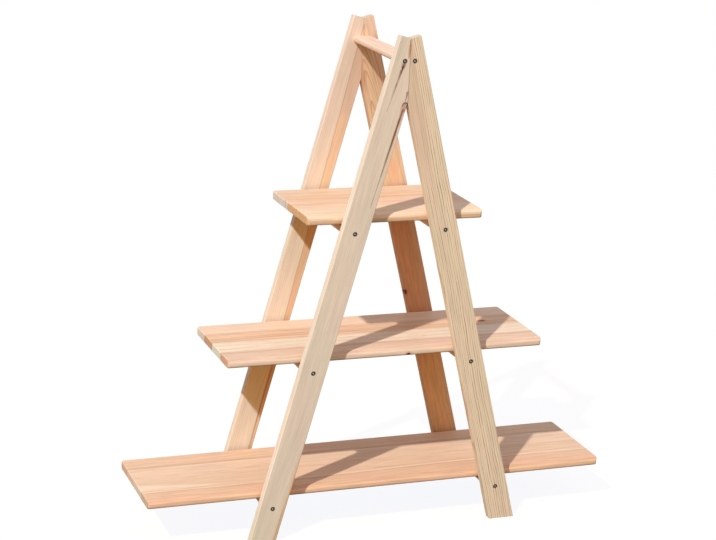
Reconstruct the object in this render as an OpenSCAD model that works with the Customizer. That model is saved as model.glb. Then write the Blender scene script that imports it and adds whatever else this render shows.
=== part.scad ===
// Three-tier plant ladder stand in pine: two A-shaped frames of mitred legs, joined by
// six round rungs and a rounded top rail, with three edge-glued shelves between them.
// X runs along the shelves, Y from the front frame to the rear one, Z up from the floor.

/* [Frames] */
// Height of the stand
stand_h = 1050; // [980:5:1120]
// Width across the outer edges of the feet
foot_spread = 598; // [560:2:640]
// Width across the outer corners of the legs' tops
top_w = 43.2; // [34:0.1:50]
// Depth over both frames
stand_d = 283; // [265:1:320]
// Width of a leg
leg_w = 55; // [46:1:62]
// Thickness of a leg
leg_t = 18; // [15:1:22]
// Radius of a leg's eased edges
leg_edge_r = 1.5; // [1:0.5:5]

/* [Top rail] */
// Width of the rail
rail_w = 43; // [38:1:52]
// Thickness of the rail
rail_t = 14; // [14:1:20]
// Radius of the rail's long edges
rail_edge_r = 6.5; // [1:0.5:6.5]
// Distance from the top of the stand down to the middle of the rail
rail_drop = 50; // [44:1:62]
// Distance between the two screws in each end of the rail
rail_screw_gap = 21.2; // [16:0.2:26]

/* [Shelves] */
// Height of the bottom shelf's upper face
bottom_shelf_z = 107; // [90:1:140]
// Height from one shelf to the next
shelf_pitch = 288.7; // [260:0.1:295]
// Thickness of a shelf
shelf_t = 18; // [15:1:22]
// Gap between a shelf and each frame
shelf_gap = 9.5; // [4:0.5:14]
// Length of the top shelf
top_shelf_l = 382; // [340:2:420]
// Length of the middle shelf
middle_shelf_l = 697; // [640:1:760]
// Length of the bottom shelf
bottom_shelf_l = 1017; // [940:1:1045]
// Radius of a shelf's eased edges
shelf_edge_r = 2.5; // [1:0.5:4]
// Radius of a shelf's rounded nose, its upper front edge
shelf_nose_r = 10; // [5:0.5:12]
// Radius of a shelf's corners, seen from above
shelf_corner_r = 6; // [5:1:14]

/* [Staves] */
// Width of the two middle staves of each shelf
stave_w = 60; // [52:1:64]
// Width of the top shelf's back stave
top_back_stave_w = 43; // [36:1:56]
// Width of the middle shelf's back stave
middle_back_stave_w = 58; // [50:1:60]
// Width of the bottom shelf's back stave
bottom_back_stave_w = 57; // [50:1:60]

/* [Rungs] */
// Diameter of a rung
rung_d = 28; // [24:1:34]

/* [Screws] */
// Diameter of a screw's shank
screw_d = 4; // [3.5:0.1:5]
// Diameter of a screw's countersunk head
screw_head_d = 8; // [7:0.1:9]
// Length of the screws through the legs
frame_screw_l = 50; // [40:1:56]
// Length of the screws from the rungs up into the shelves
shelf_screw_l = 40; // [36:1:42]
// Distance from a shelf's long edge to its screws
shelf_screw_inset = 36; // [32:1:50]
// Depth of a head's face below the wood
screw_sink = 0.5; // [0.2:0.1:1]
// Length of a screw's point
screw_tip_l = 6; // [4:0.5:8]
// Length of an arm-to-arm slot of the cross recess
recess_l = 4.6; // [3:0.1:5]
// Width of a slot of the cross recess
recess_w = 1; // [0.8:0.1:1.4]
// Depth of the cross recess
recess_depth = 1.8; // [1:0.1:2.2]

/* [Fits] */
// Radial clearance round a screw's shank
shank_gap = 0.1; // [0.05:0.05:0.3]
// Radial clearance round a screw's head
head_gap = 0.2; // [0.1:0.05:0.5]
// Clearance past a screw's point
tip_gap = 1; // [0.5:0.5:2]
// Clearance between a rung and the shelf on it
seat_gap = 0.2; // [0.1:0.05:0.4]

/* [Hidden] */
$fn = 64;

// Tiers, counted from the floor
BOTTOM = 0;
MIDDLE = 1;
TOP = 2;
TIERS = [BOTTOM, MIDDLE, TOP];
STAVES = [1, 2, 3, 4];
shelf_l = [bottom_shelf_l, middle_shelf_l, top_shelf_l];
back_stave_w = [bottom_back_stave_w, middle_back_stave_w, top_back_stave_w];

// A leg leans from its foot to the apex, where the pair meets in a mitre at x = 0
lean = atan((foot_spread - top_w) / 2 / stand_h);
leg_level_w = leg_w / cos(lean);
frame_y = (stand_d - leg_t) / 2;
inner_d = stand_d - 2 * leg_t;
rail_z = stand_h - rail_drop;
shelf_d = inner_d - 2 * shelf_gap;
shelf_screw_y = shelf_d / 2 - shelf_screw_inset;
past = 1;

// Heights of a tier's upper face and of the middle of its rungs
function shelf_top(tier) = bottom_shelf_z + tier * shelf_pitch;
function shelf_under(tier) = shelf_top(tier) - shelf_t;
function rung_z(tier) = shelf_under(tier) - seat_gap - rung_d / 2;

// Distance of a leg's centre line from the middle of the stand at height z
function leg_x(z) = foot_spread / 2 - z * tan(lean) - leg_level_w / 2;
function rung_x(tier) = leg_x(rung_z(tier));

// Where stave n of a tier starts and ends, measured from the shelf's back edge
function stave_start(tier, n) = n == 1 ? 0 : back_stave_w[tier] + (n - 2) * stave_w;
function stave_end(tier, n) = n == len(STAVES) ? shelf_d : back_stave_w[tier] + (n - 1) * stave_w;

// Height of a shelf screw's head face above its rung's middle
shelf_head_z = screw_sink - rung_d / 2;

// Rectangle w by t round the origin, with corners of radius r
module rounded_bar(w, t, r) {
    square([w - 2 * r, t], center = true);
    square([w, t - 2 * r], center = true);
    for (x = [-1, 1], y = [-1, 1])
        translate([x * (w / 2 - r), y * (t / 2 - r)]) circle(r);
}

// Section d by t round the origin, whose upper corner on the left is a nose of radius r
module nosed_bar(d, t, r) {
    intersection() {
        square([d, t], center = true);
        union() {
            translate([r, 0]) square([d, t], center = true);
            translate([0, -r]) square([d, t], center = true);
            translate([r - d / 2, t / 2 - r]) circle(r);
        }
    }
}

// Board l by d by t round the origin, with corners of radius corner_r seen from above and
// its edges rounded over by r
module rounded_board(l, d, t, corner_r, r) {
    rotate([90, 0, 90]) linear_extrude(l - 2 * corner_r, center = true) rounded_bar(d, t, r);
    rotate([90, 0, 0]) linear_extrude(d - 2 * corner_r, center = true) rounded_bar(l, t, r);
    for (a = [0, 1], b = [0, 1]) mirror([a, 0, 0]) mirror([0, b, 0])
        translate([l / 2 - corner_r, d / 2 - corner_r, 0]) rotate_extrude(angle = 90)
            intersection() {
                rounded_bar(2 * corner_r, t, r);
                translate([0, -t]) square([corner_r, 2 * t]);
            }
}

// Countersunk wood screw along +Z, with z = 0 the wood's surface at its head
module screw(l) {
    head_h = (screw_head_d - screw_d) / 2;
    translate([0, 0, screw_sink]) difference() {
        union() {
            cylinder(h = head_h, d1 = screw_head_d, d2 = screw_d);
            cylinder(h = l - screw_tip_l, d = screw_d);
            translate([0, 0, l - screw_tip_l])
                cylinder(h = screw_tip_l, d1 = screw_d, d2 = screw_d / 6);
        }
        for (a = [0, 90])
            rotate(a) cube([recess_l, recess_w, 2 * recess_depth], center = true);
    }
}

// Hole for a screw: a cone that clears its head and a bore that clears its shank
module screw_hole(l) {
    mouth_r = screw_head_d / 2 + head_gap + screw_sink;
    bore_r = screw_d / 2 + shank_gap;
    cylinder(h = screw_sink + l + tip_gap, r = bore_r);
    cylinder(h = mouth_r - bore_r, r1 = mouth_r, r2 = bore_r);
    translate([0, 0, -past]) cylinder(h = past, r = mouth_r);
}

// Puts what it is given at x and z on the front frame's face, pointing back
module on_front(x, z) {
    translate([x, -stand_d / 2, z]) rotate([-90, 0, 0]) children();
}

// The screws, or their holes, of the front frame's right leg
module right_leg_screw_places() {
    for (tier = TIERS) on_front(rung_x(tier), rung_z(tier)) children();
    on_front(rail_screw_gap / 2, rail_z) children();
}

// The places of a tier's shelf screws on the underside of its two rungs, pointing up
module shelf_screw_places(tier) {
    for (x = [-1, 1], y = [-1, 1])
        translate([x * rung_x(tier), y * shelf_screw_y, rung_z(tier) - rung_d / 2]) children();
}

// Front right leg: a straight bar with eased edges, square at its top end, cut level at
// the floor and upright at the mitre
module front_right() {
    bar_l = stand_h / cos(lean) + leg_w * tan(lean) + past;
    difference() {
        translate([top_w / 2, -frame_y, stand_h]) rotate([0, -lean, 0])
            translate([-leg_w / 2, 0, -bar_l])
            linear_extrude(bar_l) rounded_bar(leg_w, leg_t, leg_edge_r);
        translate([0, -stand_d, -stand_h]) cube([foot_spread, stand_d, stand_h]);
        translate([-foot_spread, -stand_d, 0])
            cube([foot_spread, stand_d, stand_h + leg_w]);
        right_leg_screw_places() screw_hole(frame_screw_l);
    }
}

module front_right_leg() { color("#dcc49a") front_right(); }
module front_left_leg() { color("#e0ceb2") mirror([1, 0, 0]) front_right(); }
module rear_right_leg() { color("#e2b483") mirror([0, 1, 0]) front_right(); }
module rear_left_leg() { color("#ecc9a0") mirror([0, 1, 0]) mirror([1, 0, 0]) front_right(); }

// Rail between the apexes, a slat with rounded edges and two pilot bores in each end
module top_rail() {
    color("#e6cba6") difference() {
        translate([0, inner_d / 2, rail_z]) rotate([90, 0, 0])
            linear_extrude(inner_d) rounded_bar(rail_w, rail_t, rail_edge_r);
        for (x = [-1, 1], y = [0, 1])
            mirror([0, y, 0]) on_front(x * rail_screw_gap / 2, rail_z)
                screw_hole(frame_screw_l);
    }
}

// Round rung between the frames on one side (-1 left, 1 right), with a pilot bore in each
// end and two countersunk holes up through it to the shelf
module rung(tier, side) {
    color("#ddb68a") difference() {
        translate([side * rung_x(tier), inner_d / 2, rung_z(tier)]) rotate([90, 0, 0])
            cylinder(h = inner_d, d = rung_d);
        for (y = [0, 1])
            mirror([0, y, 0]) on_front(side * rung_x(tier), rung_z(tier))
                screw_hole(frame_screw_l);
        shelf_screw_places(tier) screw_hole(shelf_screw_l);
    }
}

// Stave n of a shelf, counted from the back: a strip of the whole shelf's nosed board
module stave(tier, n) {
    y_back = shelf_d / 2 - stave_start(tier, n);
    y_front = shelf_d / 2 - stave_end(tier, n);
    z_middle = shelf_under(tier) + shelf_t / 2;
    difference() {
        translate([0, 0, z_middle]) intersection() {
            rounded_board(shelf_l[tier], shelf_d, shelf_t, shelf_corner_r, shelf_edge_r);
            rotate([90, 0, 90]) linear_extrude(shelf_l[tier], center = true)
                nosed_bar(shelf_d, shelf_t, shelf_nose_r);
            translate([-shelf_l[tier], y_front, -shelf_t])
                cube([2 * shelf_l[tier], y_back - y_front, 2 * shelf_t]);
        }
        shelf_screw_places(tier) screw_hole(shelf_screw_l);
    }
}

module top_shelf_stave(n) { color(["#e2a878", "#e0a070", "#e6b48c", "#ecc79c"][n - 1]) stave(TOP, n); }
module middle_shelf_stave(n) { color(["#e8bc94", "#dc9c6c", "#ecd0a0", "#e4b08c"][n - 1]) stave(MIDDLE, n); }
module bottom_shelf_stave(n) { color(["#dca274", "#e4b08c", "#e6b892", "#dc9a6c"][n - 1]) stave(BOTTOM, n); }

// Screws through the legs into the rail and the rungs
module rail_screws() {
    color("#9a9c9e") for (x = [-1, 1])
        on_front(x * rail_screw_gap / 2, rail_z) screw(frame_screw_l);
}
module rung_screws() {
    color("#9a9c9e") for (x = [-1, 1], tier = TIERS)
        on_front(x * rung_x(tier), rung_z(tier)) screw(frame_screw_l);
}
module shelf_screws(tier) { color("#9a9c9e") shelf_screw_places(tier) screw(shelf_screw_l); }

front_left_leg();
front_right_leg();
rear_left_leg();
rear_right_leg();
top_rail();
rung(TOP, -1);  // top_left_rung
rung(TOP, 1);  // top_right_rung
rung(MIDDLE, -1);  // middle_left_rung
rung(MIDDLE, 1);  // middle_right_rung
rung(BOTTOM, -1);  // bottom_left_rung
rung(BOTTOM, 1);  // bottom_right_rung
for (n = STAVES) {
    top_shelf_stave(n);
    middle_shelf_stave(n);
    bottom_shelf_stave(n);
}
rail_screws();  // front_rail_screws
mirror([0, 1, 0]) rail_screws();  // rear_rail_screws
rung_screws();  // front_rung_screws
mirror([0, 1, 0]) rung_screws();  // rear_rung_screws
shelf_screws(TOP);  // top_shelf_screws
shelf_screws(MIDDLE);  // middle_shelf_screws
shelf_screws(BOTTOM);  // bottom_shelf_screws
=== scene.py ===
# %% [markdown]
# # A pine plant ladder stand
# Two A-shaped ladders of pine slats stand one behind the other. A rounded rail joins their tops,
# six round rungs join them lower down, and three glued pine shelves lie on the rungs. Every wooden
# piece has its true shape already, in a frame that never moves, so this lesson is about surfaces:
# a camera, a plain studio, one recipe for pine that each board reads in its own way, and the screws.

# %% The frame
import math

import bpy
import numpy as np
from mathutils import Matrix, Vector


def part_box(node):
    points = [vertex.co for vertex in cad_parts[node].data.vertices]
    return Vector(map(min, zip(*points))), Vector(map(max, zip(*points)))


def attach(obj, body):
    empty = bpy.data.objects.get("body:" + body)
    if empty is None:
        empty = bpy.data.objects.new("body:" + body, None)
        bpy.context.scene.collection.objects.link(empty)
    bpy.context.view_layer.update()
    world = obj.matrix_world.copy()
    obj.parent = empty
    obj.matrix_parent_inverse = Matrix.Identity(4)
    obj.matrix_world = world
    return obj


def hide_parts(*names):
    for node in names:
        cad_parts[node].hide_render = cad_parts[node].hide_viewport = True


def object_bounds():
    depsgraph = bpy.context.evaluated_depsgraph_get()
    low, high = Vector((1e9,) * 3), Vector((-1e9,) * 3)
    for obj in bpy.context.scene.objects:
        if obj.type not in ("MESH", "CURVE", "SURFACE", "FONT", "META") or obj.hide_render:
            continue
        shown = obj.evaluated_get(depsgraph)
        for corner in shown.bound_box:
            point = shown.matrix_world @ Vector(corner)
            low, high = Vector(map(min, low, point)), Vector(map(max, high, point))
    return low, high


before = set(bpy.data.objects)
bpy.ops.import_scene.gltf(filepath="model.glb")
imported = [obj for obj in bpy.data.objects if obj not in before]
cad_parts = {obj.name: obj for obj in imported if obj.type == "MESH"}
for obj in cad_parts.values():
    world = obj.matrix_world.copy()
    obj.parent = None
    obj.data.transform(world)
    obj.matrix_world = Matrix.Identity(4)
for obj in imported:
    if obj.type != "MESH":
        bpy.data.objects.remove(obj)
cad_low, cad_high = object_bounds()
MM = 0.001
print("pieces in the frame:", len(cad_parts))
print("box from", [round(v, 4) for v in cad_low], "to", [round(v, 4) for v in cad_high])

# %% [markdown]
# ## The camera
# The stand is seen from its front left, from half a metre above its top, with a long lens that
# keeps the legs nearly parallel. The camera leans a touch to one side, as a hand-held one does.
# A constraint could aim it at the stand, but three angles give its three axes directly, and its
# lean with them.

# %% The camera
CAMERA_PLACE = Vector((-1.3831, -3.5011, 1.6078))
YAW, PITCH, ROLL = (math.radians(a) for a in (21.073, 15.968, 2.761))
FOCAL_PIXELS = 1861.7
PICTURE_WIDTH = 716
SENSOR_WIDTH = 36

forward = Vector((math.sin(YAW) * math.cos(PITCH), math.cos(YAW) * math.cos(PITCH), -math.sin(PITCH)))
level_right = Vector((math.cos(YAW), -math.sin(YAW), 0))
level_up = level_right.cross(forward)
right = level_right * math.cos(ROLL) + level_up * math.sin(ROLL)
up = level_up * math.cos(ROLL) - level_right * math.sin(ROLL)


def add_object(name, data):
    """A new object of the scene that shows this mesh, camera or light."""
    made = bpy.data.objects.new(name, data)
    bpy.context.scene.collection.objects.link(made)
    return made


camera_data = bpy.data.cameras.new("camera")
camera_data.sensor_width = SENSOR_WIDTH
camera_data.lens = FOCAL_PIXELS / PICTURE_WIDTH * SENSOR_WIDTH
camera = add_object("camera", camera_data)
camera_axes = Matrix((right, up, -forward)).transposed().to_4x4()
camera.matrix_world = Matrix.Translation(CAMERA_PLACE) @ camera_axes
bpy.context.scene.camera = camera
bpy.context.scene.view_settings.view_transform = "Standard"
print("lens in mm:", round(camera_data.lens, 1))

# %% [markdown]
# ## Short names for nodes
# A finish is a graph of small nodes. Writing each one out takes four lines, so a little class gives
# them short names: every method adds one node, fills its inputs and hands back what the next needs.


# %% A graph of nodes
class Graph:
    """The node graph of one material or world."""

    def __init__(self, tree):
        self.tree = tree
        tree.nodes.clear()

    def add(self, kind, inputs=(), **settings):
        """Adds one node. inputs maps a socket's name or number to a value or to another output."""
        node = self.tree.nodes.new(kind)
        for key, value in settings.items():
            setattr(node, key, value)
        for key, value in dict(inputs).items():
            if isinstance(value, bpy.types.NodeSocket):
                self.tree.links.new(value, node.inputs[key])
            else:
                node.inputs[key].default_value = value
        return node

    def math(self, operation, *values):
        """One sum on numbers."""
        return self.add("ShaderNodeMath", enumerate(values), operation=operation).outputs[0]

    def vector(self, operation, *values):
        """One sum on vectors. LENGTH, DISTANCE and DOT_PRODUCT give a number."""
        node = self.add("ShaderNodeVectorMath", enumerate(values), operation=operation)
        gives_number = operation in ("LENGTH", "DISTANCE", "DOT_PRODUCT")
        return node.outputs["Value" if gives_number else "Vector"]

    def split(self, vector):
        """The x, y and z of a vector."""
        return self.add("ShaderNodeSeparateXYZ", {0: vector}).outputs

    def join(self, x=0.0, y=0.0, z=0.0):
        """A vector of three numbers."""
        return self.add("ShaderNodeCombineXYZ", {0: x, 1: y, 2: z}).outputs[0]

    def measured(self, place, origin=(0, 0, 0), units=(1, 1, 1), turn=(0, 0, 0)):
        """A place as it is measured from an origin, along turned axes and in these units."""
        inputs = {"Vector": place, "Location": origin, "Rotation": turn, "Scale": units}
        return self.add("ShaderNodeMapping", inputs, vector_type="TEXTURE").outputs[0]

    def noise(self, place, detail=2.0, scale=1.0, roughness=0.5):
        """Smooth noise from 0 to 1, about 0.5 on average."""
        inputs = {"Vector": place, "Scale": scale, "Detail": detail, "Roughness": roughness}
        return self.add("ShaderNodeTexNoise", inputs).outputs["Fac"]

    def ease(self, value, low, high, to_low=0.0, to_high=1.0):
        """A smooth step from to_low to to_high as value goes from low to high."""
        inputs = {"Value": value, 1: low, 2: high, 3: to_low, 4: to_high}
        return self.add("ShaderNodeMapRange", inputs, interpolation_type="SMOOTHSTEP").outputs[0]

    def mix(self, share, first, second, blend="MIX"):
        """A colour between first and second."""
        inputs = {"Factor": share, 6: first, 7: second}
        return self.add("ShaderNodeMix", inputs, data_type="RGBA", blend_type=blend).outputs[2]

    def surface(self, shader):
        """Ends a material's graph with that shader."""
        self.add("ShaderNodeOutputMaterial", {"Surface": shader})


def colour(red, green, blue):
    """A colour as it looks on a screen, from 0 to 255, as the linear light that a shader works in."""
    def linear(value):
        value = value / 255
        return value / 12.92 if value <= 0.04045 else ((value + 0.055) / 1.055) ** 2.4

    return (linear(red), linear(green), linear(blue), 1.0)


def new_finish(name):
    """A new material and its graph, still empty."""
    material = bpy.data.materials.new(name)
    material.use_nodes = True
    return material, Graph(material.node_tree)


print("a mid grey is", round(colour(128, 128, 128)[0], 3), "as light")

# %% [markdown]
# ## The studio
# One lamp, high on the front left, gives the shelves their light and the legs a bright outer edge.
# It is small and stands well back, so that the legs cast crisp slanting shadows. The world fills
# them, coolly from above and warmly from the side, as a room does, and more strongly from the front
# right, where a studio's white screen would be. Big lamps could do that too, but would show as
# shapes in the screws. The world is pure white where it is seen, and lights the stand at a lower
# strength, so that pale wood doesn't wash out.

# %% What is seen
WHITE = (1, 1, 1, 1)


def seen_rays(graph):
    """1 for a ray that shows a thing directly, in a mirror or through glass, 0 for one that lights."""
    rays = graph.add("ShaderNodeLightPath").outputs
    seen = graph.math("MAXIMUM", rays["Is Camera Ray"], rays["Is Glossy Ray"])
    return graph.math("MAXIMUM", seen, rays["Is Transmission Ray"])


# %% The world
FILL = 0.38
FILL_LEAN = 0.55
FILL_FROM = Vector((0.4, -0.6, 0.7)).normalized()
FILL_ABOVE, FILL_BESIDE = (0.93, 1.0, 1.2, 1), (1.04, 0.72, 0.38, 1)
COOL_HEIGHT = 0.6

world = bpy.data.worlds.new("studio")
bpy.context.scene.world = world
world.use_nodes = True
studio = Graph(world.node_tree)
seen = seen_rays(studio)
way = studio.add("ShaderNodeTexCoord").outputs["Generated"]
towards = studio.vector("DOT_PRODUCT", way, tuple(FILL_FROM))
fill = studio.math("MULTIPLY_ADD", towards, FILL * FILL_LEAN, FILL)
strength = studio.math("MAXIMUM", seen, fill)
height = studio.split(way)[2]
tint = studio.mix(studio.ease(height, 0.0, COOL_HEIGHT), FILL_BESIDE, FILL_ABOVE)
tint = studio.mix(seen, tint, WHITE)
background = studio.add("ShaderNodeBackground", {"Color": tint, "Strength": strength})
studio.add("ShaderNodeOutputWorld", {"Surface": background.outputs[0]})
print("fill from", round(FILL * (1 - FILL_LEAN), 2), "to", round(FILL * (1 + FILL_LEAN), 2))

# %% The lamp
LAMP_DIRECTION = Vector((0.763, 0.615, -1.0)).normalized()
LAMP_DISTANCE = 20.0
LAMP_SIZE = 0.5
LAMP_LEVEL = 0.88

lamp_data = bpy.data.lights.new("lamp", "AREA")
lamp_data.shape = "DISK"
lamp_data.size = LAMP_SIZE
lamp_data.energy = LAMP_LEVEL * math.pi**2 * LAMP_DISTANCE**2
lamp = add_object("lamp", lamp_data)
lamp_place = (cad_low + cad_high) / 2 - LAMP_DIRECTION * LAMP_DISTANCE
lamp_axes = LAMP_DIRECTION.to_track_quat("-Z", "Y").to_matrix().to_4x4()
lamp.matrix_world = Matrix.Translation(lamp_place) @ lamp_axes
print("lamp in watts:", round(lamp_data.energy))

# %% [markdown]
# ## The floor
# A plain floor catches the stand's faint shadow. A square would do, but a disc of rings and spokes
# has no corner that a view could catch. Its matt paint is a warm brown, because the light that the
# floor throws up is what makes undersides and shaded faces glow orange. It is pale only where it is
# seen: a glow that the camera and mirrors see, but that lights nothing, lifts it nearly to white,
# and further out it turns to the white of the world, so that no edge shows.

# %% A disc of rings and spokes
FLOOR_RADIUS, INNER_RADIUS = 9.0, 0.05
FLOOR_RINGS, FLOOR_SPOKES = 12, 72


def wall_faces(loops):
    """The four corners of each cell between one closed loop of points and the next, as one array."""
    upper, lower = loops[:-1], loops[1:]
    return np.stack((upper, lower, np.roll(lower, -1, 1), np.roll(upper, -1, 1)), -1).reshape(-1, 4)


def make_object(name, points, faces, smooth=True):
    """One object from an array of points in metres and a list of faces."""
    mesh = bpy.data.meshes.new(name)
    mesh.from_pydata(points, [], faces)
    mesh.polygons.foreach_set("use_smooth", np.full(len(mesh.polygons), smooth))
    mesh.update()
    return add_object(name, mesh)


def disc_points():
    """The floor's points: x = r cos(a) and y = r sin(a), on rings of radius r and spokes at angle a."""
    radius, angle = np.meshgrid(np.linspace(INNER_RADIUS, FLOOR_RADIUS, FLOOR_RINGS),
                                np.linspace(0, 2 * np.pi, FLOOR_SPOKES, endpoint=False), indexing="ij")
    points = np.stack((radius * np.cos(angle), radius * np.sin(angle), np.zeros_like(radius)), -1)
    return points.reshape(-1, 3)


floor_loops = np.arange(FLOOR_RINGS * FLOOR_SPOKES).reshape(FLOOR_RINGS, FLOOR_SPOKES)
floor_faces = [*wall_faces(floor_loops).tolist(), floor_loops[0].tolist()]
floor = make_object("floor", disc_points().tolist(), floor_faces)
print("floor faces:", len(floor.data.polygons))

# %% The floor's paint
FLOOR_MATT = (0.17, 0.10, 0.045, 1)
FLOOR_GLOW = (0.9, 0.92, 0.955, 1)
FADE_FROM, FADE_TO = 0.8, 2.4

floor_paint, paint = new_finish("pale_floor")
place = paint.add("ShaderNodeTexCoord").outputs["Object"]
far = paint.ease(paint.vector("LENGTH", place), FADE_FROM, FADE_TO)
seen = seen_rays(paint)
matt = paint.add("ShaderNodeBsdfDiffuse", {"Color": FLOOR_MATT}).outputs[0]
glow = paint.add("ShaderNodeEmission", {"Color": FLOOR_GLOW, "Strength": seen}).outputs[0]
near_floor = paint.add("ShaderNodeAddShader", {0: matt, 1: glow}).outputs[0]
far_floor = paint.add("ShaderNodeEmission", {"Color": WHITE, "Strength": 1.0}).outputs[0]
fade = paint.math("MULTIPLY", far, seen)
paint.surface(paint.add("ShaderNodeMixShader", {0: fade, 1: near_floor, 2: far_floor}).outputs[0])
floor.data.materials.append(floor_paint)
print("nodes in the floor's paint:", len(floor_paint.node_tree.nodes))

# %% [markdown]
# ## Pine, from the inside out
# A board is cut out of a trunk, so its figure is the trunk's growth rings met by a flat face.
# Stripes of stretched noise could stand for them on one face, but would not meet those of the next.
# So every board has a pith line, the middle of its tree, somewhere beside it. The distance from
# that line, divided by the width of a ring, counts the rings. A pith line far off to one side gives
# straight lines, and one under the face gives arches. Because the rings fill the solid, they run
# over an edge and show as arcs on the end grain by themselves.
#
# Each board first gets its own millimetres: x along the grain, y across it and z through it.

# %% A board's own millimetres
SEED_WAY = (-37.0, 91.0, -53.0)


def board_space(graph, corner, along, across):
    """The place on a board in its own millimetres, from its corner."""
    along, across = Vector(along).normalized(), Vector(across).normalized()
    axes = Matrix((along, across, along.cross(across))).transposed()
    place = graph.add("ShaderNodeTexCoord").outputs["Object"]
    return graph.measured(place, corner, (MM, MM, MM), axes.to_euler())


def stretched(graph, place, lengths, seed, **look):
    """Noise whose blots have these lengths, in mm along, across and through, moved away by a seed."""
    origin = tuple(seed * step for step in SEED_WAY)
    return graph.noise(graph.measured(place, origin, lengths), **look)


def centred(graph, value, amount):
    """Noise from 0 to 1 turned into a swing of that amount about 0."""
    return graph.math("MULTIPLY", graph.math("SUBTRACT", value, 0.5), amount)


# %% [markdown]
# ## Rings
# Real rings are never quite round or even, so slow noise bends them along the board, and a second
# noise makes some wide and some narrow. Within a ring the wood darkens slowly through summer and
# stops sharply in autumn: a lopsided tooth, which a sine could not give. Around a knot the rings
# are pushed aside, and on some boards they fade out in patches.


# %% Growth rings
def knot_reach(graph, place, knot):
    """How far a point is from a knot, in knot radii. A knot is drawn out along the grain."""
    return graph.vector("LENGTH", graph.measured(place, knot["at"], knot["size"]))


def ring_count(graph, place, board):
    """How many rings lie between the pith and each point.

    That is the distance to the pith line, y = pith y + lean y times x and the same for z, bent by
    noise and by knots and divided by the width of a ring. Noise that reads the count makes the rings
    uneven."""
    x, y, z = graph.split(place)
    (pith_y, pith_z), (lean_y, lean_z) = board["pith"], board["lean"]
    from_y = graph.math("SUBTRACT", y, graph.math("MULTIPLY_ADD", x, lean_y, pith_y))
    from_z = graph.math("SUBTRACT", z, graph.math("MULTIPLY_ADD", x, lean_z, pith_z))
    reach = graph.vector("LENGTH", graph.join(y=from_y, z=from_z))
    slow = stretched(graph, place, (260, 70, 70), board["seed"])
    quick = stretched(graph, place, (48, 9, 9), board["seed"] + 3, detail=1)
    reach = graph.math("ADD", reach, centred(graph, slow, board["wander"]))
    reach = graph.math("ADD", reach, centred(graph, quick, board["ripple"]))
    for knot in board["knots"]:
        push = graph.ease(knot_reach(graph, place, knot), 0.4, 3.2, knot["push"], 0.0)
        reach = graph.math("ADD", reach, push)
    count = graph.math("DIVIDE", reach, board["ring"])
    uneven = graph.noise(graph.join(count, board["seed"]), detail=1, scale=0.35)
    return graph.math("MULTIPLY_ADD", uneven, board["uneven"], count)


def growth_rings(graph, place, board):
    """How dark the rings make each point, from 0 in spring wood to 1 in autumn wood.

    The darkness rises with the count's fraction and falls off just before the next ring starts. The
    count's whole number picks how strong each ring is."""
    count = ring_count(graph, place, board)
    share = graph.math("FRACT", count)
    tooth = graph.math("POWER", graph.ease(share, board["late"], 0.88), 1.6)
    tooth = graph.math("MULTIPLY", tooth, graph.ease(share, 0.90, 0.99, 1.0, 0.0))
    number = graph.join(graph.math("FLOOR", count), board["seed"])
    luck = graph.add("ShaderNodeTexWhiteNoise", {"Vector": number}, noise_dimensions="3D").outputs["Value"]
    dark = graph.math("MULTIPLY", tooth, graph.math("MULTIPLY_ADD", luck, 0.65, 0.5))
    if board["patchy"]:
        patches = stretched(graph, place, (60, 6, 6), board["seed"] + 47)
        faint = graph.ease(patches, 0.38, 0.60, 1.0 - board["patchy"], 1.0)
        dark = graph.math("MULTIPLY", dark, faint)
    return dark


# %% [markdown]
# ## What one board has and another lacks
# Three kinds of mark make a board its own. A band is a strip along the grain in another tone: heart
# wood, a pale stripe of sap wood, the thin dark line of a glued joint. It may end part of the way
# along the board, or below its face. A streak is a short resin or pith line that fades at its end.
# A knot is where a branch was. A painted picture of each face could show them, but marks in the
# board's own millimetres need no picture, and they go into the wood as real ones do.


# %% Bands
def band_share(graph, place, band):
    """How much of a band's tone each point takes: its share inside the band, and 0 outside it.

    Each edge is a straight line, y = start + slope times x, bent by one slow sine and some noise.
    A run ends the band along x, and a depth ends it through z: each is a start, a stop and a fade."""
    x, y, z = graph.split(place)
    amount, period, phase = band.get("sway", (0.0, 1000.0, 0.0))
    turn = graph.math("SINE", graph.math("MULTIPLY_ADD", x, 2 * math.pi / period, phase))
    bent = graph.math("SUBTRACT", y, graph.math("MULTIPLY", turn, amount))
    edge = stretched(graph, place, (110, 30, 30), band["seed"], detail=1)
    bent = graph.math("ADD", bent, centred(graph, edge, band.get("wander", 2.0)))
    (low, low_slope), (high, high_slope), soft = band["low"], band["high"], band["soft"]
    above = graph.math("SUBTRACT", bent, graph.math("MULTIPLY_ADD", x, low_slope, low))
    below = graph.math("SUBTRACT", graph.math("MULTIPLY_ADD", x, high_slope, high), bent)
    share = graph.math("MULTIPLY", graph.ease(above, -soft, soft), graph.ease(below, -soft, soft))
    for key, distance in (("run", x), ("depth", z)):
        if key in band:
            start, stop, fade = band[key]
            share = graph.math("MULTIPLY", share, graph.ease(distance, start - fade, start + fade))
            share = graph.math("MULTIPLY", share, graph.ease(distance, stop - fade, stop + fade, 1.0, 0.0))
    return graph.math("MULTIPLY", share, band["share"])


def strip(low, high, tone, seed, slopes=(0, 0), soft=4, share=1.0, **more):
    """A band from y = low to y = high, with soft edges that may slope. more may name a run and so on."""
    return {"low": (low, slopes[0]), "high": (high, slopes[1]), "soft": soft, "share": share,
            "seed": seed, "tone": tone, **more}


def joint(y, share, seed):
    """The hair-thin dark line where two staves meet."""
    return strip(y - 0.45, y + 0.45, colour(150, 96, 66), seed, soft=0.45, share=share,
                 wander=0.0, blend="MIX")


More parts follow.
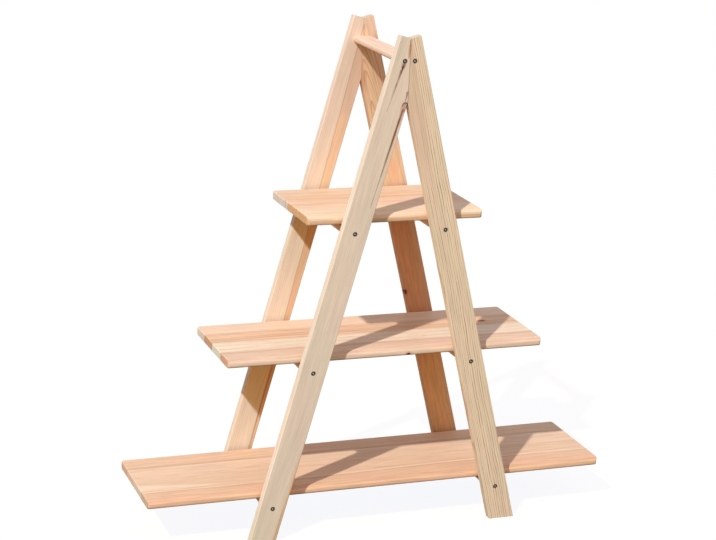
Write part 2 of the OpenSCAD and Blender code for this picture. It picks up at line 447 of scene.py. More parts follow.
def grain_line(y, slope, width, share, tone, seed, **more):
    """One strong ring that stands out along a board, dark or pale."""
    return strip(y - width / 2, y + width / 2, tone, seed, slopes=(slope, slope), soft=width / 2,
                 share=share, blend="MIX", **more)


# %% Streaks
def streak(start, end, width, share, fade, tone):
    """One streak between two places on a board's face, as strong as share at first and fade at last."""
    return {"start": (*start, 0), "end": (*end, 0), "width": width, "share": share, "fade": fade,
            "tone": tone, "seed": start[0] * 0.1}


def streak_share(graph, place, mark):
    """How much of a streak's tone each point takes: 0 beside it, and less towards its end.

    The distance from the nearest point of its line is compared with its width, which shrinks along
    it. Distance through the board counts a quarter, so a streak goes deeper than it is wide."""
    start, end = Vector(mark["start"]), Vector(mark["end"])
    length, way = (end - start).length, tuple((end - start).normalized())
    away = graph.vector("SUBTRACT", place, tuple(start))
    run = graph.vector("DOT_PRODUCT", away, way)
    inside = graph.math("MINIMUM", graph.math("MAXIMUM", run, 0.0), length)
    nearest = graph.add("ShaderNodeVectorMath", {0: way, "Scale": inside}, operation="SCALE").outputs[0]
    side = graph.measured(graph.vector("SUBTRACT", away, nearest), units=(1, 1, 4))
    wobble = stretched(graph, place, (26, 60, 60), mark["seed"])
    reach = graph.math("ADD", graph.vector("LENGTH", side), centred(graph, wobble, mark["width"] * 0.7))
    reach = graph.math("DIVIDE", reach, graph.ease(run, 0.0, length, 1.0, 0.35))
    body = graph.ease(reach, mark["width"] * 0.2, mark["width"], 1.0, 0.0)
    patches = stretched(graph, place, (20, 5, 40), mark["seed"] + 5)
    body = graph.math("MULTIPLY", body, graph.ease(patches, 0.3, 0.55, 0.6, 1.0))
    return graph.math("MULTIPLY", body, graph.ease(run, length * 0.1, length, mark["share"], mark["fade"]))


# %% Knots
def knotted(graph, place, wood, knot):
    """The wood with one knot in it: a ringed core, a dark rim, and a stained halo that fades out."""
    near = knot_reach(graph, place, knot)
    wood = graph.mix(graph.ease(near, 0.9, 2.4, knot["stain"], 0.0), wood, knot["tint"], "MULTIPLY")
    wood = graph.mix(graph.ease(near, 0.84, 1.12, 0.95, 0.0), wood, knot["rim"])
    rings = graph.math("SINE", graph.math("MULTIPLY", near, 17.0))
    core = graph.mix(graph.math("MULTIPLY_ADD", rings, 0.16, 0.25), knot["core"], knot["rim"])
    return graph.mix(graph.ease(near, 0.62, 0.82, 1.0, 0.0), wood, core)


# %% [markdown]
# ## One recipe for every board
# The recipe mixes spring and autumn wood by the rings, lays the board's bands on them and lets the
# tint drift. Four layers of stretched noise, from broad blotches to fine pores, come over that, then
# knots and streaks. Sawn ends turn a little browner, because open pores drink light. Autumn wood is
# harder, so it stands a hair proud of the planed face and shines a little more. Twenty-three
# finishes made one by one would be hard to keep alike, so a board only says where it differs.

# %% A plain board
PLAIN = {
    "seed": 1.0,  # where in the noise the board lies
    "ring": 4.0,  # the width of a ring, in mm
    "pith": (-90.0, 30.0),  # y and z of the pith line at x = 0
    "lean": (0.0, 0.0),  # how fast the pith line's y and z change along the board
    "wander": 9.0,  # how far slow noise bends the rings
    "ripple": 0.8,  # how far quick noise bends them
    "uneven": 3.0,  # how much the widths of the rings differ
    "late": 0.2,  # the share of a ring that stays pale
    "patchy": 0.0,  # how far the rings fade in patches
    "spring": colour(245, 212, 180),
    "autumn": colour(220, 170, 130),
    "contrast": 0.5,  # how much of the autumn colour the rings take
    "figure": (-900.0, -800.0, 1.0),  # from this x to that one, contrast falls to this share
    "fleck": 0.0,  # how much autumn colour small flecks take
    "strands": 0.3,  # how strongly strands and fibres show
    "end": colour(214, 186, 160),  # the colour of a sawn end
    "seam": 0.0,  # how dark the line is at the mitre
    "holes": (),  # x and z of each screw, on the stand
    "knots": (),
    "streaks": (),
    "bands": (),
}
print("a board is described by", len(PLAIN), "words")


# %% The wood's colour
def fibres(graph, place, seed):
    """Layers of stretched noise: broad blotches, strands, fibres a hand long and fine pores."""
    blotch = stretched(graph, place, (190, 26, 26), seed + 11)
    strand = stretched(graph, place, (80, 5, 5), seed + 37, detail=3, roughness=0.6)
    fibre = stretched(graph, place, (60, 1.6, 1.6), seed + 17, detail=3)
    fine = stretched(graph, place, (9, 0.45, 0.45), seed + 23)
    return blotch, strand, fibre, fine


def ringed(graph, place, dark, board):
    """Spring and autumn wood mixed by the rings, with the board's flecks and bands on it."""
    start, stop, left = board["figure"]
    contrast = graph.ease(graph.split(place)[0], start, stop, board["contrast"], board["contrast"] * left)
    wood = graph.mix(graph.math("MULTIPLY", dark, contrast), board["spring"], board["autumn"])
    if board["fleck"]:
        spots = stretched(graph, place, (14, 3.5, 3.5), board["seed"] + 31, detail=3)
        wood = graph.mix(graph.ease(spots, 0.54, 0.70, 0.0, board["fleck"]), wood, board["autumn"])
    for band in board["bands"]:
        wood = graph.mix(band_share(graph, place, band), wood, band["tone"], band.get("blend", "MULTIPLY"))
    return wood


def drifted(graph, place, wood, seed):
    """Wood whose tint wanders a little between pink and straw."""
    hue = stretched(graph, place, (110, 24, 24), seed + 41)
    tint = graph.mix(graph.ease(hue, 0.35, 0.65), (1.014, 0.99, 0.99, 1), (0.986, 1.006, 0.98, 1))
    return graph.mix(1.0, wood, tint, "MULTIPLY")


def fibrous(graph, wood, layers, strands):
    """Wood times a tone of 1, plus the swing of each layer of fibres."""
    swings = (0.2, strands, strands * 0.7, 0.10)
    blotch, strand, fibre, fine = (centred(graph, layer, swing) for layer, swing in zip(layers, swings))
    tone = graph.math("ADD", graph.math("ADD", blotch, strand), fibre)
    tone = graph.math("ADD", graph.math("ADD", tone, fine), 1.0)
    return graph.mix(1.0, wood, graph.join(tone, tone, tone), "MULTIPLY")


# %% Sawn ends, the seam and the screw holes
OPEN_PORES = colour(150, 108, 74)
SEAM_SHADE, SEAM_FROM, SEAM_TO = colour(120, 84, 62), 0.2 * MM, 1.1 * MM
# The ring round a screw's head is painted shade, for the shadow in the countersink's gap.
HOLE_SHADE, HOLE_FROM, HOLE_TO = colour(92, 74, 58), 4.4 * MM, 5.4 * MM


def with_sawn_ends(graph, place, along, wood, dark, board):
    """The wood, browner where |normal . along| is high: there the grain is cut across."""
    normal = graph.add("ShaderNodeTexCoord").outputs["Normal"]
    facing = graph.vector("DOT_PRODUCT", normal, tuple(Vector(along).normalized()))
    sawn_end = graph.ease(graph.math("ABSOLUTE", facing), 0.55, 0.85)
    pores = stretched(graph, place, (4, 1.6, 1.6), board["seed"] + 29, detail=3)
    drunk = graph.math("MULTIPLY_ADD", graph.ease(pores, 0.4, 0.7), 0.35, graph.math("MULTIPLY", dark, 0.4))
    return graph.mix(sawn_end, wood, graph.mix(drunk, board["end"], OPEN_PORES))


def with_seam_and_holes(graph, wood, board):
    """The wood, darker close to the stand's middle plane, with painted shade in a ring round each screw."""
    on_stand = graph.add("ShaderNodeTexCoord").outputs["Object"]
    if board["seam"]:
        from_seam = graph.math("ABSOLUTE", graph.split(on_stand)[0])
        wood = graph.mix(graph.ease(from_seam, SEAM_FROM, SEAM_TO, board["seam"], 0.0), wood, SEAM_SHADE)
    flat = graph.vector("MULTIPLY", on_stand, (1, 0, 1))
    for hole_x, hole_z in board["holes"]:
        reach = graph.vector("DISTANCE", flat, (hole_x, 0, hole_z))
        wood = graph.mix(graph.ease(reach, HOLE_FROM, HOLE_TO, 0.9, 0.0), wood, HOLE_SHADE)
    return wood


# %% Pine
def planed(graph, wood, dark, layers):
    """The shader of planed wood, on which rings, fibres and pores stand out in a low relief."""
    _, _, fibre, fine = layers
    relief = graph.math("MULTIPLY_ADD", dark, 0.5, graph.math("MULTIPLY", fibre, 0.6))
    relief = graph.math("MULTIPLY_ADD", fine, 0.25, relief)
    bump = graph.add("ShaderNodeBump", {"Height": relief, "Strength": 0.5, "Distance": 0.2 * MM})
    gloss = graph.ease(dark, 0.0, 1.0, 0.64, 0.5)
    inputs = {"Base Color": wood, "Roughness": gloss, "Normal": bump.outputs[0], "Specular IOR Level": 0.3}
    return graph.add("ShaderNodeBsdfPrincipled", inputs).outputs[0]


def pine(name, corner, along, across, **own):
    """A pine finish for one board. own changes what PLAIN says."""
    board = {**PLAIN, **own}
    material, graph = new_finish(name)
    place = board_space(graph, corner, along, across)
    dark = growth_rings(graph, place, board)
    layers = fibres(graph, place, board["seed"])
    wood = ringed(graph, place, dark, board)
    wood = fibrous(graph, drifted(graph, place, wood, board["seed"]), layers, board["strands"])
    for knot in board["knots"]:
        wood = knotted(graph, place, wood, knot)
    for mark in board["streaks"]:
        wood = graph.mix(streak_share(graph, place, mark), wood, mark["tone"])
    wood = with_sawn_ends(graph, place, along, wood, dark, board)
    wood = with_seam_and_holes(graph, wood, board)
    graph.surface(planed(graph, wood, dark, layers))
    return material


def dress(node, corner, along, across, **own):
    """Gives a wooden piece of the frame its own pine."""
    material = pine(node + "_pine", corner, along, across, **own)
    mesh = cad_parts[node].data
    for index in range(len(mesh.materials)):
        mesh.materials[index] = material
    print(node, "nodes in its pine:", len(material.node_tree.nodes))


# %% [markdown]
# ## The four legs
# Each leg is its own stick, so each has its own seed, rings and marks. x runs down from its top, and
# y runs from its outer edge to its inner one, on both sides of the stand. z is 0 at its front face.
# At its rear face it is 18 on a right leg and -18 on a left one.
#
# A thin ring of painted shade, for the shadow in the gap round a screw's head, shows round each
# screw in a leg, so the places of the screws are worked out first, from the pieces that they go into.

# %% Where the screws are
HEAD_RADIUS = 4.0
TIERS, SIDES = ("bottom", "middle", "top"), ("left", "right")


def middle(low, high):
    """The x and z of the middle of a box."""
    return (low.x + high.x) / 2, (low.z + high.z) / 2


rung_middles = [middle(*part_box(f"{tier}_{side}_rung")) for tier in TIERS for side in SIDES]
rail_screw_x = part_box("front_rail_screws")[1].x - HEAD_RADIUS * MM
rail_middles = [(side * rail_screw_x, middle(*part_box("top_rail"))[1]) for side in (-1, 1)]
print("screws in each frame:", len(rung_middles + rail_middles))

# %% Where a leg's millimetres start
TOP_REACH = 21.6 * MM  # x of a leg's outer top corner
foot_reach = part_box("front_right_leg")[1].x
LEAN = math.atan((foot_reach - TOP_REACH) / cad_high.z)
print("the legs lean", round(math.degrees(LEAN), 2), "degrees")


def leg_finish(node, **own):
    """Pine for a leg, measured from its outer top corner, with painted shade in a ring round each screw."""
    side = -1 if "left" in node else 1
    down = (side * math.sin(LEAN), 0, -math.cos(LEAN))
    inwards = (-side * math.cos(LEAN), 0, -math.sin(LEAN))
    corner = (side * TOP_REACH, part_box(node)[0].y, cad_high.z)
    holes = [place for place in rung_middles + rail_middles if place[0] * side > 0]
    dress(node, corner, down, inwards, holes=holes, **own)


# %% [markdown]
# ## The front left leg
# It is pale and nearly plain, with a knot in the crotch and two brown pith streaks that run down
# from it. A few short dark streaks lie above it. Towards the foot the inner edge turns warmer,
# beyond one strong ring.

# %% The front left leg
WHOLE_LEG = (-90, 150)
FRONT_END, REAR_END = colour(226, 206, 178), colour(230, 208, 180)
crotch_knot = {
    "at": (132.5, 51.0, 0), "size": (9.5, 6.8, 14), "push": 3, "stain": 0.3,
    "tint": colour(240, 214, 200), "rim": colour(52, 28, 20), "core": colour(236, 196, 172),
}
leg_finish(
    "front_left_leg", seed=2, ring=3, pith=(-230, 60), lean=(-0.006, 0.0), wander=7,
    spring=colour(248, 231, 209), autumn=colour(224, 197, 162), contrast=0.3, end=FRONT_END, seam=0.6,
    knots=(crotch_knot,),
    bands=(
        strip(50, 80, colour(250, 220, 178), 3, soft=1.5, share=0.8, run=(900, 1200, 40)),
        grain_line(49.5, 0, 2.6, 0.6, colour(196, 138, 90), 3, run=(990, 1200, 30)),
        strip(*WHOLE_LEG, colour(251, 255, 250), 3, run=(1005, 1300, 25)),
    ),
    streaks=(
        streak((4, 22.8), (19, 26), 3, 0.9, 0.9, colour(134, 86, 58)),
        streak((15, 25.6), (38, 29.2), 6, 0.85, 0.8, colour(206, 148, 104)),
        streak((51, 23.4), (72, 22.4), 6, 0.9, 0.9, colour(150, 104, 82)),
        streak((57, 22.8), (69, 21.8), 3.2, 1, 1, colour(50, 26, 20)),
        streak((66, 21.8), (150, 16.8), 4.4, 0.85, 0.3, colour(150, 102, 84)),
        streak((104, 48), (122, 48.6), 3.4, 0.8, 0.8, colour(146, 98, 74)),
        streak((135, 46.5), (144, 46), 4.4, 0.8, 0.8, colour(246, 190, 176)),
        streak((128, 56.4), (143, 57.4), 3, 0.9, 0.9, colour(84, 48, 34)),
        streak((140, 49), (345, 42.5), 5.4, 0.85, 0.3, colour(186, 132, 100)),
        streak((142, 48.4), (338, 42.8), 2.4, 0.9, 0.6, colour(112, 70, 52)),
    ),
)

# %% [markdown]
# ## The front right leg
# It was cut across the rings, so they show as a dozen close thin lines that drift and bow a little,
# and fade in patches. A browner strip of heart wood lies along its inner edge near the top.

# %% The front right leg
leg_finish(
    "front_right_leg", seed=4, ring=4.4, pith=(-165, 40), lean=(0.012, 0.0), wander=16,
    ripple=3, uneven=1.2, late=0.5, patchy=0.6,
    spring=colour(253, 232, 199), autumn=colour(177, 130, 92), contrast=1.0, end=FRONT_END, seam=0.6,
    bands=(
        strip(20, 90, colour(230, 196, 169), 4, slopes=(0.04, 0), soft=5, share=0.6,
              run=(-200, 280, 90), blend="MIX"),
    ),
    streaks=(streak((13, 25.4), (38, 33.6), 4.0, 0.7, 0.5, colour(222, 166, 122)),),
)

# %% [markdown]
# ## The rear legs
# The left one has a strip of orange heart wood that narrows towards the foot, with a thin dark line
# along its edge. Two warm bands lie where the upper shelves shade it, for the orange light that the
# shelves' undersides throw there. Their edges slant as the shadows do.
#
# The right one is cut just above its pith near the top, so the rings meet in arches. Below the top
# shelf its front is darker and warmer: painted warm shade, for the light that the shelves throw
# there. The painted bands on both legs stop short of the rear faces.

# %% The rear left leg
HEART_SLOPES = (0.024, 0)
heart_wood = [
    strip(25, 120, tone, 5, slopes=HEART_SLOPES, soft=1.4, wander=5, run=(start, stop, 20))
    for start, stop, tone in (
        (-90, 205, colour(243, 231, 222)),
        (205, 400, colour(255, 239, 218)),
        (400, 1300, colour(247, 222, 201)),
    )
]
warm_shade = [
    strip(low, 200, tone, 5, slopes=(slope, 0), soft=6, wander=0, run=run, depth=(-3, 60, 1.5))
    for low, slope, run, tone in (
        (-652, 1.40, (380, 700, 5), colour(250, 228, 188)),
        (-1197, 1.41, (690, 1000, 5), colour(253, 232, 190)),
    )
]
leg_finish(
    "rear_left_leg", seed=6, ring=5, pith=(-120, 40), wander=8,
    spring=colour(245, 228, 205), autumn=colour(229, 197, 163), contrast=0.35, end=REAR_END, seam=0.3,
    bands=(
        strip(*WHOLE_LEG, colour(248, 218, 198), 5.5, share=0.6, run=(-200, 330, 90), blend="MIX"),
        *heart_wood,
        grain_line(25.3, HEART_SLOPES[0], 1.8, 0.45, colour(186, 128, 92), 5, wander=5),
        grain_line(46.5, 0, 2.6, 0.45, colour(120, 78, 48), 5.5, run=(760, 980, 40)),
        *warm_shade,
    ),
)

# %% The rear right leg
# How far into the leg the painted shade reaches, short of the rear face.
PAINTED_SHADE_DEPTH = (-60, 14, 3)
edge_knot = {
    "at": (617, 54, 2), "size": (5.5, 4.4, 12), "push": 4, "stain": 0.5,
    "tint": colour(226, 180, 150), "rim": colour(84, 44, 26), "core": colour(120, 66, 40),
}
leg_finish(
    "rear_right_leg", seed=8, ring=5, pith=(43, -26), lean=(0.0, 0.12), wander=8,
    spring=colour(240, 203, 165), autumn=colour(205, 144, 95), contrast=0.66, figure=(225, 290, 0.12),
    strands=0.6, end=REAR_END, seam=0.2, knots=(edge_knot,),
    bands=(
        strip(*WHOLE_LEG, colour(246, 214, 186), 7.5, share=0.75, run=(-200, 42, 16), blend="MIX"),
        strip(46, 80, colour(236, 208, 198), 7, soft=2, share=0.6, run=(40, 140, 20)),
        # These three bands are painted warm shade below the top shelf, on the leg's front only.
        strip(*WHOLE_LEG, colour(253, 244, 226), 8, run=(392, 1300, 14), depth=PAINTED_SHADE_DEPTH),
        strip(14, 150, colour(254, 240, 226), 8, soft=14, run=(392, 1300, 14), depth=PAINTED_SHADE_DEPTH),
        strip(*WHOLE_LEG, colour(240, 228, 234), 8, run=(400, 740, 60), depth=PAINTED_SHADE_DEPTH),
    ),
    streaks=(
        streak((14, 25), (40, 30), 3, 0.6, 0.3, colour(192, 140, 100)),
        streak((322, 25), (368, 27), 18, 0.5, 0.5, colour(250, 186, 142)),
    ),
)

# %% [markdown]
# ## The rail and the rungs
# The rail is a rounded slat, and the rungs are dowels. They run from the front legs to the rear
# legs, and their grain with them. They could share one finish, but the same recipe serves them with
# other axes, and a loop gives each rung a pith line of its own.


# %% The rail and the rungs
def cross_finish(node, **own):
    """Pine for a piece whose grain runs from front to back."""
    low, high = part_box(node)
    dress(node, (low.x, low.y, high.z), (0, 1, 0), (1, 0, 0), **own)


cross_finish("top_rail", seed=11, ring=3.4, pith=(-40, 30), contrast=0.6, strands=0.6,
             spring=colour(248, 214, 188), autumn=colour(204, 146, 116))
for tier_number, tier in enumerate(TIERS):
    for side_number, side in enumerate(SIDES):
        cross_finish(f"{tier}_{side}_rung", seed=20 + tier_number * 2 + side_number, ring=3.6,
                     pith=(-20.0 + 30 * side_number, 25.0 - 12 * tier_number), contrast=0.55,
                     spring=colour(244, 206, 170), autumn=colour(216, 160, 118))

# %% [markdown]
# ## The shelves
# A shelf is four staves glued edge to edge, and each stave came from another board. Tone, ring
# width and cut all change at the joint, which is what makes a glued panel look like one. One wide
# board with painted joints would lack that. All the staves of a shelf share their millimetres, x
# from its left end, y from its back edge and z down from its top.
#
# The routed front edge has three tones, made as bands with a depth: painted shade that damps the
# highlight on the nose, a painted tone below it that sets how bright the front face looks in this
# light, and painted shade on the lower lip, under its rounded edge.

# %% Marks of the shelves
DARK_GRAIN = colour(206, 146, 108)
PALE_GRAIN = colour(250, 222, 192)
# The lip's tone is painted shade, for the dark under a shelf's rounded lower front edge.
PAINTED_LIP_SHADE = colour(144, 132, 120)
shelf_knot = {
    "at": (617, 92, 0), "size": (7, 5, 14), "push": 5, "stain": 0.8,
    "tint": colour(226, 184, 160), "rim": colour(112, 56, 40), "core": colour(150, 84, 60),
}
front_knot = {
    "at": (392, 229, 16), "size": (5, 4, 4), "push": 2, "stain": 0.5,
    "tint": colour(220, 180, 150), "rim": colour(70, 36, 22), "core": colour(100, 56, 36),
}
long_sway, knot_sway = (3, 900, -0.6), (4, 700, 2.6)
long_grain = (
    grain_line(191, -0.014, 2.0, 0.8, DARK_GRAIN, 61, sway=long_sway, wander=3),
    grain_line(185, -0.014, 5.5, 0.6, PALE_GRAIN, 61, sway=long_sway, wander=3),
    grain_line(174, -0.010, 1.6, 0.5, DARK_GRAIN, 62, sway=long_sway, run=(430, 900, 90)),
)


def front_edge(nose, face, face_from=5, lip=1):
    """The bands of a routed front edge, from the nose down to the lip, all painted light and shade."""
    edge = {"seed": 77, "soft": 2, "wander": 0.5}
    return (
        strip(220, 260, nose, depth=(-9, 4.5, 2), **edge),
        strip(220, 260, face, depth=(face_from, 60, 2.5), blend="MIX", **edge),
        strip(220, 260, PAINTED_LIP_SHADE, depth=(15.5, 60, 3), share=lip, **edge),
    )


# %% Staves
STAVES = {
    "top": (
        dict(seed=31, ring=5, pith=(-60, 40),
             spring=colour(234, 199, 167), autumn=colour(214, 165, 129), end=colour(254, 238, 217)),
        dict(seed=32, ring=5.5, pith=(-80, 60),
             spring=colour(238, 198, 161), autumn=colour(216, 160, 122), end=colour(254, 240, 226),
             bands=(grain_line(63, 0, 5, 0.35, DARK_GRAIN, 64),
                    grain_line(82, 0.02, 8, 0.3, DARK_GRAIN, 65))),
        dict(seed=33, ring=6, pith=(160, 45),
             spring=colour(242, 202, 169), autumn=colour(224, 173, 136), end=colour(248, 195, 141),
             bands=(grain_line(128, 0.01, 9, 0.25, DARK_GRAIN, 66),)),
        dict(seed=34, ring=5, pith=(330, 25),
             spring=colour(244, 213, 180), autumn=colour(226, 180, 140), end=colour(248, 195, 138),
             bands=front_edge(colour(252, 252, 252), colour(234, 196, 158), face_from=8, lip=0.5)),
    ),
    "middle": (
        dict(seed=41, ring=5, pith=(-70, 30),
             spring=colour(248, 212, 181), autumn=colour(232, 182, 148), end=colour(254, 238, 214)),
        dict(seed=42, ring=6, pith=(180, 60), contrast=0.6, knots=(shelf_knot,),
             spring=colour(240, 200, 163), autumn=colour(204, 146, 107), end=colour(222, 173, 135),
             bands=(grain_line(92, 0, 3, 0.6, DARK_GRAIN, 71, sway=knot_sway),
                    grain_line(103, 0, 7, 0.5, DARK_GRAIN, 72, sway=knot_sway),
                    joint(115, 0.5, 73))),
        dict(seed=43, ring=6, pith=(150, 40), fleck=0.45,
             spring=colour(245, 221, 193), autumn=colour(221, 177, 134), end=colour(254, 250, 226),
             bands=(joint(181, 0.3, 74),)),
        dict(seed=44, ring=4.5, pith=(-20, 60), knots=(front_knot,),
             spring=colour(235, 202, 173), autumn=colour(210, 159, 130), end=colour(243, 188, 150),
             bands=(grain_line(186, 0, 8, 0.6, colour(216, 162, 136), 75),
                    grain_line(201, 0.005, 3, 0.4, colour(222, 168, 140), 76),
                    *front_edge(colour(249, 244, 242), colour(245, 216, 188)))),
    ),
    "bottom": (
        dict(seed=51, ring=6, pith=(-90, 30),
             spring=colour(238, 198, 163), autumn=colour(218, 164, 124), end=colour(238, 198, 163),
             bands=(grain_line(52, 0, 6, 0.4, DARK_GRAIN, 81), joint(57, 0.9, 82))),
        dict(seed=52, ring=4, pith=(-60, 40),
             spring=colour(239, 202, 170), autumn=colour(221, 169, 133), end=colour(254, 218, 187),
             bands=(grain_line(63, 0, 8, 0.4, PALE_GRAIN, 83), joint(57, 0.9, 82))),
        dict(seed=53, ring=5, pith=(320, 40),
             spring=colour(236, 199, 165), autumn=colour(217, 167, 132), end=colour(254, 233, 207),
             bands=(strip(146, 189, PALE_GRAIN, 84, slopes=(0.16, 0), share=0.55,
                          run=(-90, 240, 80), blend="MIX"),
                    *long_grain)),
        dict(seed=54, ring=6, pith=(340, 20),
             spring=colour(234, 191, 156), autumn=colour(216, 157, 121), end=colour(232, 201, 167),
             bands=(*long_grain, *front_edge(colour(245, 237, 235), colour(252, 206, 168)))),
    ),
}
for tier, staves in STAVES.items():
    back_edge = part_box(f"{tier}_shelf_stave_1")[1].y
    for number, own in enumerate(staves, start=1):
        node = f"{tier}_shelf_stave_{number}"
        low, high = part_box(node)
        dress(node, (low.x, back_edge, high.z), (1, 0, 0), (0, -1, 0), strands=0.5, **own)

# %% [markdown]
# ## The screws
# Every screw has a countersunk head with a cross recess, and a coarse wood thread down to its tip.
# The frame holds a smooth stand-in for each, so these are the only pieces made here. A recess could
# be cut out with a Boolean, but that leaves ragged faces. So the head is a square grid pressed into
# a disc, whose lines are placed so that the recess gets crisp straight walls. The rest is a profile
# turned about the axis, and the thread comes from adding the turn's angle to the profile's phase.
# One mesh holds all the screws of a group.

# %% A screw's sizes
HEAD_LINES = np.array([0.0, 0.11, 0.16, 0.35, 0.52, 0.60, 0.80, 1.0])  # shares of the head's radius
ARM_HALF_WIDTH, ARM_REACH = 0.12, 0.55  # the cross, between those lines
DEEPEST_LINE = 0.52
RECESS_DEPTH, RECESS_TAPER = 1.9, 0.45
DOME = 0.15
RIM_DEPTH, NECK_DEPTH, SHANK_DEPTH = 0.45, 2.6, 4.0
NECK_RADIUS, CORE_RADIUS, CREST_RADIUS = 1.65, 1.3, 1.95
THREAD_PITCH = 2.4
THREAD_FROM, THREAD_FADE = 6.0, 2.0
TIP_LENGTH, LAST_RING = 6.0, 0.3
RIDGE_SHARPNESS = 3.2
FRAME_SCREW, SHELF_SCREW = 50, 40
print("turns of thread on a frame screw:", round((FRAME_SCREW - THREAD_FROM) / THREAD_PITCH))


# %% A screw's head
def screw_head():
    """A head's face: x = u sqrt(1 - v²/2), y = v sqrt(1 - u²/2) on a square grid, sunk in a cross."""
    lines = np.concatenate((-HEAD_LINES[:0:-1], HEAD_LINES))
    u, v = np.meshgrid(lines, lines, indexing="ij")
    x, y = u * np.sqrt(1 - v**2 / 2), v * np.sqrt(1 - u**2 / 2)
    narrow, wide = np.minimum(abs(u), abs(v)), np.maximum(abs(u), abs(v))
    sunk = (narrow < ARM_HALF_WIDTH) & (wide < ARM_REACH)
    edge = -DOME * np.hypot(x, y) ** 8
    deepest = RECESS_DEPTH * (1 - RECESS_TAPER * wide / DEEPEST_LINE)
    z = edge - np.where(sunk, deepest, 0.0)
    return np.stack((x * HEAD_RADIUS, y * HEAD_RADIUS, z), axis=-1)


def rim_loop(grid):
    """The numbers on the rim of a square grid of numbers, once round it."""
    return np.concatenate((grid[:, 0], grid[-1, 1:-1], grid[::-1, -1], grid[0, -2:0:-1]))


# %% A screw's thread
def screw_rings(length, angle):
    """The rings below the head, one row for each depth and one column for each angle.

    The ridge of the thread is a tent on the fraction of depth / pitch - angle / turn, so it climbs one
    pitch in each turn. It starts below the neck and shrinks with the core towards the tip."""
    shank = np.arange(SHANK_DEPTH, length - LAST_RING, THREAD_PITCH / 4)
    depth = np.concatenate(([RIM_DEPTH, NECK_DEPTH], shank))
    phase = (depth[:, None] / THREAD_PITCH - angle[None, :] / (2 * np.pi)) % 1.0
    grown = np.clip((depth - THREAD_FROM) / THREAD_FADE, 0, 1)[:, None]
    ridge = np.clip(1 - abs(phase - 0.5) * RIDGE_SHARPNESS, 0, 1) * grown
    taper = np.clip((length - depth) / TIP_LENGTH, 0, 1)[:, None]
    radius = (CORE_RADIUS + (CREST_RADIUS - CORE_RADIUS) * ridge) * taper
    radius[0], radius[1] = HEAD_RADIUS, NECK_RADIUS
    height = np.broadcast_to(-depth[:, None], radius.shape)
    return np.stack((radius * np.cos(angle), radius * np.sin(angle), height), axis=-1)


def numbered(points, first=0):
    """The number of each point of a grid of points, counted from first."""
    rows, columns = points.shape[:2]
    return first + np.arange(rows * columns).reshape(rows, columns)


def screw_shape(length):
    """One screw, its face at z = 0 and its tip at z = -length: its points, those of its head first,
    how many the head has, and the faces of the head, of the wall of rings and of the tip's fan."""
    head = screw_head()
    grid = numbered(head)
    rim, flat_head = rim_loop(grid), head.reshape(-1, 3)
    rings = screw_rings(length, np.arctan2(flat_head[rim, 1], flat_head[rim, 0]))
    points = np.concatenate((flat_head, rings.reshape(-1, 3), [[0, 0, -length]]))
    loops = np.concatenate(([rim], numbered(rings, grid.size)))
    cells = np.stack((grid[:-1, :-1], grid[1:, :-1], grid[1:, 1:], grid[:-1, 1:]), -1).reshape(-1, 4)
    tip = np.full_like(rim, len(points) - 1)
    fan = np.stack((loops[-1], tip, np.roll(loops[-1], -1)), axis=-1)
    return points, grid.size, (cells, wall_faces(loops), fan)


# %% [markdown]
# ## The finish of the screws
# The heads are zinc-plated steel, with a painted glint in the middle and painted shade towards the
# rim. One even metal would look like a hole or a mirror, so each point is told how far it is from
# the middle of its head, and that sets the tone.

# %% Zinc
# The bright tone is a painted glint, and the dark rim tone is painted shade.
PAINTED_GLINT, PAINTED_RIM_SHADE, DULL = colour(222, 220, 208), colour(52, 50, 42), colour(96, 94, 88)
PAINTED_GLINT_TO, PAINTED_RIM_SHADE_FROM = 0.30, 0.46

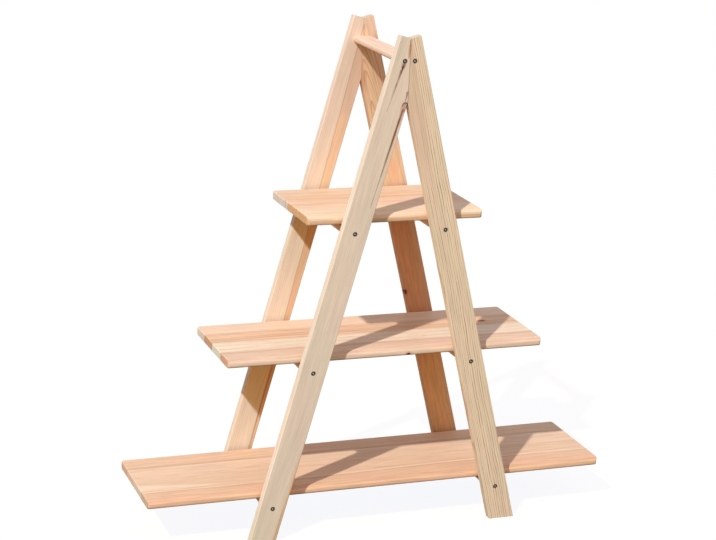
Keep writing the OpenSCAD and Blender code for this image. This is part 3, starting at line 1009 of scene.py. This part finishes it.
zinc, steel = new_finish("zinc_screw_steel")
place = steel.add("ShaderNodeTexCoord").outputs["Object"]
from_centre = steel.add("ShaderNodeAttribute", attribute_name="from_centre").outputs["Fac"]
mottle = steel.noise(place, detail=3, scale=1400)
brushed = steel.add("ShaderNodeMapping", {"Vector": place, "Scale": (900, 4000, 9000)}).outputs[0]
scratch = steel.noise(brushed)
ragged = steel.math("ADD", from_centre, centred(steel, mottle, 0.16))
tone = steel.mix(steel.ease(ragged, PAINTED_GLINT_TO, PAINTED_RIM_SHADE_FROM), PAINTED_GLINT, PAINTED_RIM_SHADE)
tone = steel.mix(steel.ease(mottle, 0.4, 0.7, 0.0, 0.3), tone, DULL)
rough = steel.math("MULTIPLY_ADD", scratch, 0.25, 0.24)
dent = steel.add("ShaderNodeBump", {"Height": scratch, "Strength": 0.35, "Distance": 0.03 * MM})
steel.surface(steel.add("ShaderNodeBsdfPrincipled", {
    "Base Color": tone, "Metallic": 1.0, "Roughness": rough, "Normal": dent.outputs[0]}).outputs[0])
print("nodes in the zinc:", len(zinc.node_tree.nodes))

# %% Groups of screws
FIRST_TURN, TURN_STEP = 23, 61


def screw_group(node, places, outwards, length):
    """One piece for all the screws of a group: each head at its place, facing outwards."""
    points, head_count, shape_faces = screw_shape(length)
    from_middle = np.hypot(points[:, 0], points[:, 1]) / HEAD_RADIUS
    from_middle[head_count:] = 1.0
    outwards, across = Vector(outwards), Vector((1, 0, 0))
    axes = np.array(Matrix((across, outwards.cross(across), outwards)))
    every, faces = [], []
    for number, place in enumerate(places):
        spin = math.radians(FIRST_TURN + TURN_STEP * number)
        turned = points @ np.array(Matrix.Rotation(-spin, 3, "Z"))
        every.append(turned @ axes * MM + np.array(place))
        for group in shape_faces:
            faces.extend((group + number * len(points)).tolist())
    piece = make_object(node + "_finished", np.concatenate(every).tolist(), faces, smooth=False)
    attribute = piece.data.attributes.new("from_centre", "FLOAT", "POINT")
    attribute.data.foreach_set("value", np.tile(from_middle, len(places)).astype(np.float32))
    piece.data.materials.append(zinc)
    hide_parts(node)
    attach(piece, "root")
    print(node, "screws:", len(places), "triangles:", sum(len(face) - 2 for face in faces))


# %% All the screws
SINK = 0.5 * MM
front_face, rear_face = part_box("front_left_leg")[0].y + SINK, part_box("rear_left_leg")[1].y - SINK
for end, face_y, outwards in (("front", front_face, (0, -1, 0)), ("rear", rear_face, (0, 1, 0))):
    screw_group(f"{end}_rung_screws", [(x, face_y, z) for x, z in rung_middles], outwards, FRAME_SCREW)
    screw_group(f"{end}_rail_screws", [(x, face_y, z) for x, z in rail_middles], outwards, FRAME_SCREW)
for tier in TIERS:
    screws_low, screws_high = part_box(f"{tier}_shelf_screws")
    reach_y = screws_high.y - HEAD_RADIUS * MM
    rungs = [middle(*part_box(f"{tier}_{side}_rung")) for side in SIDES]
    places = [(x, y, screws_low.z) for x, _ in rungs for y in (-reach_y, reach_y)]
    screw_group(f"{tier}_shelf_screws", places, (0, 0, -1), SHELF_SCREW)
